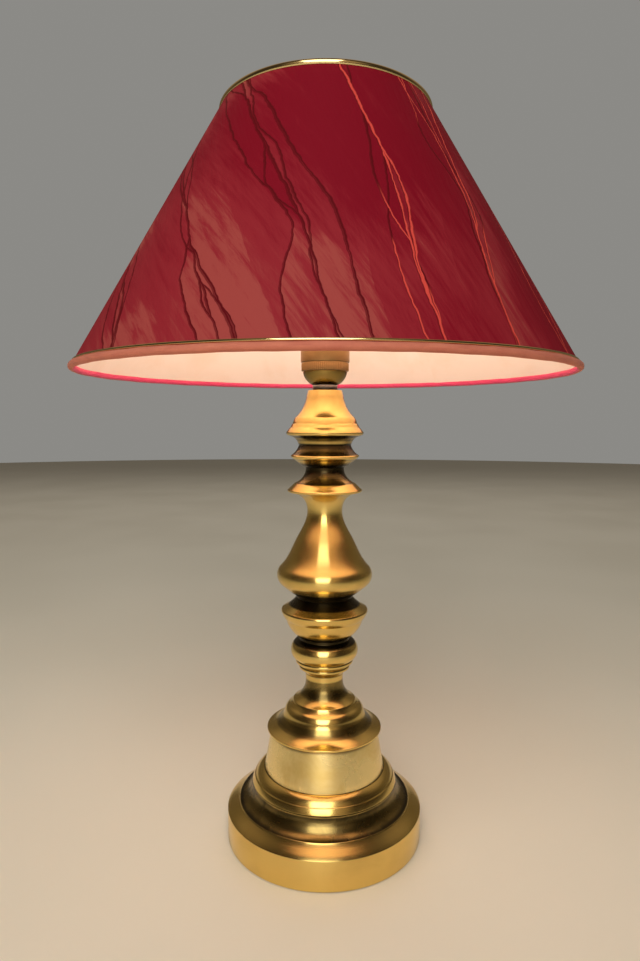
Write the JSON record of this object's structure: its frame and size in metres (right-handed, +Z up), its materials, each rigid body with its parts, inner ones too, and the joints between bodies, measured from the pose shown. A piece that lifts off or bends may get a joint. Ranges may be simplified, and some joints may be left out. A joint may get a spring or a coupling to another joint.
{
  "type": "table lamp",
  "caption": "Turned brass table lamp on a weighted round base, with a screw lampholder, a bulb and a conical cloth shade clamped between threaded rings.",
  "frame": {"origin": "on the table, under the middle of the base", "axes": "+Z up along the column, -Y towards the viewer of the picture, +Y towards the cord gland"},
  "size_m": [0.4063, 0.4064, 0.6107],
  "materials": {
    "polished_brass": "polished and lacquered, darker in the hollows",
    "satin_brass": "satin with faint tarnish",
    "holder_brass": "dull rolled brass",
    "plated_steel": "nickel plated",
    "white_wire": "white lacquered wire",
    "iron": "raw casting",
    "felt": "pressed felt",
    "porcelain": "unglazed porcelain",
    "red_cloth": "crinkled shade cloth with tonal veins",
    "hem_cloth": "rolled shade cloth",
    "white_lining": "white styrene sheet",
    "gold_trim": "metallised trim",
    "opal_glass": "opal",
    "clear_glass": "clear",
    "black_glass": "opaque vitrite"
  },
  "bodies": {
    "lamp": {"base_plinth": "polished_brass", "base_dome": "polished_brass", "lower_knop": "polished_brass", "lower_bowl": "polished_brass", "pear_bell": "polished_brass", "neck_ring": "polished_brass", "upper_ring": "polished_brass", "top_bell": "polished_brass", "base_band": "satin_brass", "holder_cap": "holder_brass", "holder_skirt": "holder_brass", "shade_ring_lower": "holder_brass", "cord_gland": "holder_brass", "gland_nut": "holder_brass", "screw_shell": "holder_brass", "centre_contact": "holder_brass", "lock_collar": "plated_steel", "centre_rod": "plated_steel", "base_washer": "plated_steel", "base_nut": "plated_steel", "base_spacer": "plated_steel", "clamp_plate": "plated_steel", "cap_grub_screw": "plated_steel", "terminal_screws": "plated_steel", "base_weight": "iron", "felt_pad": "felt", "holder_insert": "porcelain"},
    "shade": {"carrier_ring": "white_wire", "carrier_arms": "white_wire", "shade_top_wire": "white_wire", "shade_bottom_wire": "white_wire", "shade_lining": "white_lining", "shade_cover": "red_cloth", "bottom_hem": "hem_cloth", "bottom_piping": "gold_trim", "top_trim": "gold_trim"},
    "shade_ring": {"shade_ring_upper": "holder_brass"},
    "bulb_tip": {"bulb_contact": "plated_steel"},
    "bulb": {"bulb_insulator": "black_glass", "bulb_cap": "plated_steel", "bulb_glass": "opal_glass", "bulb_stem": "clear_glass", "bulb_leads": "plated_steel", "bulb_filament": "plated_steel"}
  },
  "joints": [
    {"name": "shade_turn", "type": "hinge", "parent": "lamp", "child": "shade", "pos_m": [0, 0, 0.4311], "axis": [0, 0, 1], "continuous": true},
    {"name": "shade_ring_rise", "type": "slide", "parent": "lamp", "child": "shade_ring", "axis": [0, 0, 1], "range_m": [0, 0.01]},
    {"name": "bulb_rise", "type": "slide", "parent": "lamp", "child": "bulb_tip", "axis": [0, 0, 1], "range_m": [0, 0.01462]},
    {"name": "bulb_turn", "type": "hinge", "parent": "bulb_tip", "child": "bulb", "pos_m": [0, 0, 0.4256], "axis": [0, 0, 1], "range_deg": [0, 1440]}
  ],
  "couplings": [
    {"joint": "bulb_rise", "follows": "bulb_turn", "m_per_rad": 0.00057757}
  ]
}
